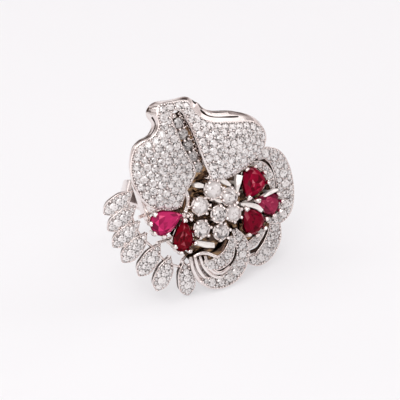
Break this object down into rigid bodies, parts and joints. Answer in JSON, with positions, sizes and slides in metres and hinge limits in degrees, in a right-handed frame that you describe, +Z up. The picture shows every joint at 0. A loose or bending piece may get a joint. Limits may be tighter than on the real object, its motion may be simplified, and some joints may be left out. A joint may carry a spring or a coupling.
{
  "type": "ruby and diamond cocktail ring",
  "caption": "Large cocktail ring lying as it rests: a pave petal over a cluster of round diamonds and pear-cut rubies, with stone-set scrolls and a fan of leaves, on a plain band.",
  "frame": {"origin": "on the surface the ring lies on, under the middle of its bounding box", "axes": "+Z up from that surface; the face of the head looks towards -Y and a little upwards, and +X runs to the face's right"},
  "size_m": [0.035, 0.029, 0.0334],
  "materials": {
    "white_gold": "polished white gold, bright rims and darker beds",
    "ruby": "clear faceted red stone",
    "diamond": "clear faceted white stone"
  },
  "bodies": {
    "root": {"setting": "white_gold", "ruby_1": "ruby", "ruby_2": "ruby", "ruby_3": "ruby", "ruby_4": "ruby", "ruby_5": "ruby", "cluster_diamond_1": "diamond", "cluster_diamond_2": "diamond", "cluster_diamond_3": "diamond", "cluster_diamond_4": "diamond", "cluster_diamond_5": "diamond", "cluster_diamond_6": "diamond", "cluster_diamond_7": "diamond", "groove_diamond_1": "diamond", "groove_diamond_2": "diamond", "groove_diamond_3": "diamond", "groove_diamond_4": "diamond", "groove_diamond_5": "diamond", "petal_stones_left": "diamond", "petal_stones_right": "diamond", "leaf_stones": "diamond", "scroll_stones_right": "diamond", "scroll_stones_low": "diamond", "scroll_stones_middle": "diamond"}
  },
  "joints": []
}
